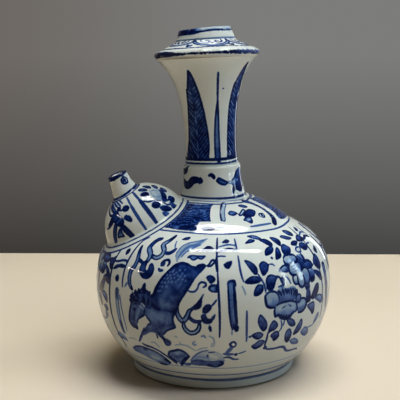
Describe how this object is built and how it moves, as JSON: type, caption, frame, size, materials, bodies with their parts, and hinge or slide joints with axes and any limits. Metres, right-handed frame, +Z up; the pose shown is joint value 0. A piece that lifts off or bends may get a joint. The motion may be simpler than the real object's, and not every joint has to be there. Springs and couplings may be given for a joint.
{
  "type": "kendi",
  "caption": "Handleless porcelain pouring vessel: squat round body on a foot ring, trumpet neck with a flanged mouth, and a swelling shoulder spout with a nipple.",
  "frame": {"origin": "on the table, under the middle of the foot ring", "axes": "+Z up along the body's axis, the spout towards -X"},
  "size_m": [0.1396, 0.1396, 0.2017],
  "materials": {
    "glazed_porcelain": "clear glossy glaze over cobalt-blue painting",
    "luting_slip": "fired slip, matt"
  },
  "bodies": {
    "root": {"lower_body": "glazed_porcelain", "upper_body": "glazed_porcelain", "lower_neck": "glazed_porcelain", "upper_neck": "glazed_porcelain", "mouth_flange": "glazed_porcelain", "mouth_collar": "glazed_porcelain", "spout_bulb": "glazed_porcelain", "spout_nipple": "glazed_porcelain", "waist_slip": "luting_slip", "neck_slip": "luting_slip", "ridge_slip": "luting_slip", "flange_slip": "luting_slip", "collar_slip": "luting_slip", "spout_slip": "luting_slip", "nipple_slip": "luting_slip"}
  },
  "joints": []
}
